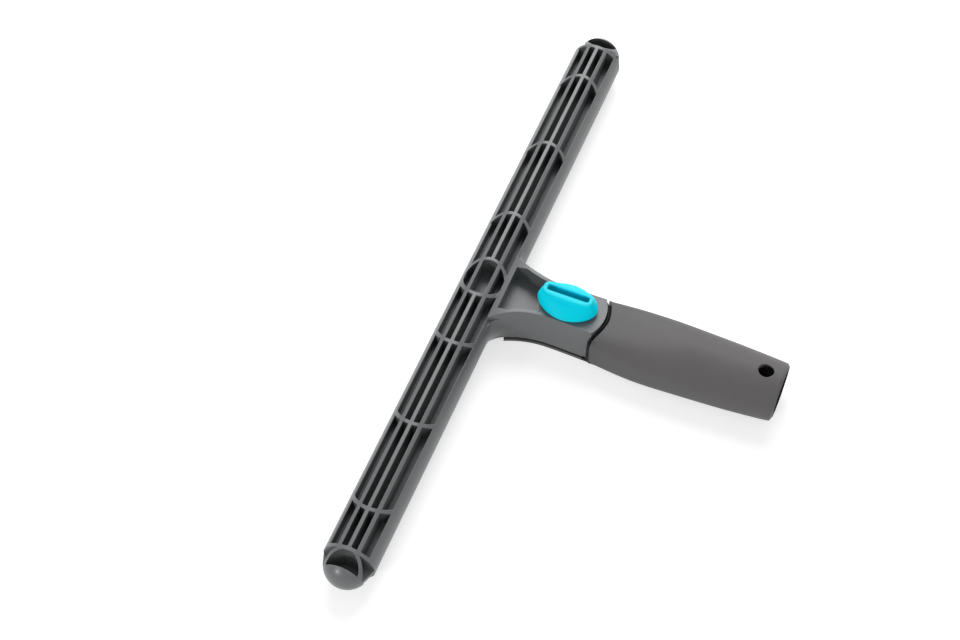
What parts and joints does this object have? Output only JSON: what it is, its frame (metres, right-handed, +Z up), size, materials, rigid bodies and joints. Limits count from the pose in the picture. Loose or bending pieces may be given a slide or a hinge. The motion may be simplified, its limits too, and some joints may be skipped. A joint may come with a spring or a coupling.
{
  "type": "swivel t-bar window scrubber",
  "caption": "Ribbed T-bar for a cloth washer sleeve on a lockable swivel, with a turning lock knob and a soft grip over a pole socket.",
  "frame": {"origin": "middle of the bounding box in plan, at the level of the lowest faces, on which the tool lies flat", "axes": "+X along the handle from the bar to the open grip end, +Y along the bar, +Z up, away from the resting side and towards the knob"},
  "size_m": [0.1684, 0.348, 0.0367],
  "materials": {
    "bar_plastic": "fine satin moulded nylon, dark neutral grey",
    "core_plastic": "black moulded nylon",
    "grip_rubber": "matt warm grey soft-touch elastomer",
    "knob_plastic": "bright cyan, soft gloss",
    "acetal": "natural white acetal, smooth",
    "steel": "plain zinc-plated steel",
    "seal_rubber": "black nitrile"
  },
  "bodies": {
    "head": {"tee_bar": "bar_plastic", "retaining_ring": "bar_plastic", "pivot_bush": "acetal"},
    "handle": {"handle_core": "core_plastic", "grip_sleeve": "grip_rubber", "index_ring": "steel", "pivot_bolt": "steel", "thrust_washer": "steel", "bolt_nut": "steel", "bolt_cap": "core_plastic", "release_spring": "steel"},
    "knob": {"lock_knob": "knob_plastic", "knob_seal": "seal_rubber", "cam_ring": "acetal", "knob_clip": "steel"},
    "collar": {"lock_collar": "acetal"}
  },
  "joints": [
    {"name": "swivel", "type": "hinge", "parent": "head", "child": "handle", "pos_m": [-0.0267, 0, 0.013], "axis": [0, 0, 1], "range_deg": [-90, 90]},
    {"name": "knob_turn", "type": "hinge", "parent": "head", "child": "knob", "pos_m": [-0.0267, 0, 0.03], "axis": [0, 0, 1], "range_deg": [0, 90]},
    {"name": "collar_slide", "type": "slide", "parent": "head", "child": "collar", "axis": [0, 0, -1], "range_m": [0, 0.0019], "deforming": ["release_spring"]}
  ],
  "couplings": [
    {"joint": "collar_slide", "follows": "knob_turn", "m_per_rad": 0.0012095}
  ]
}
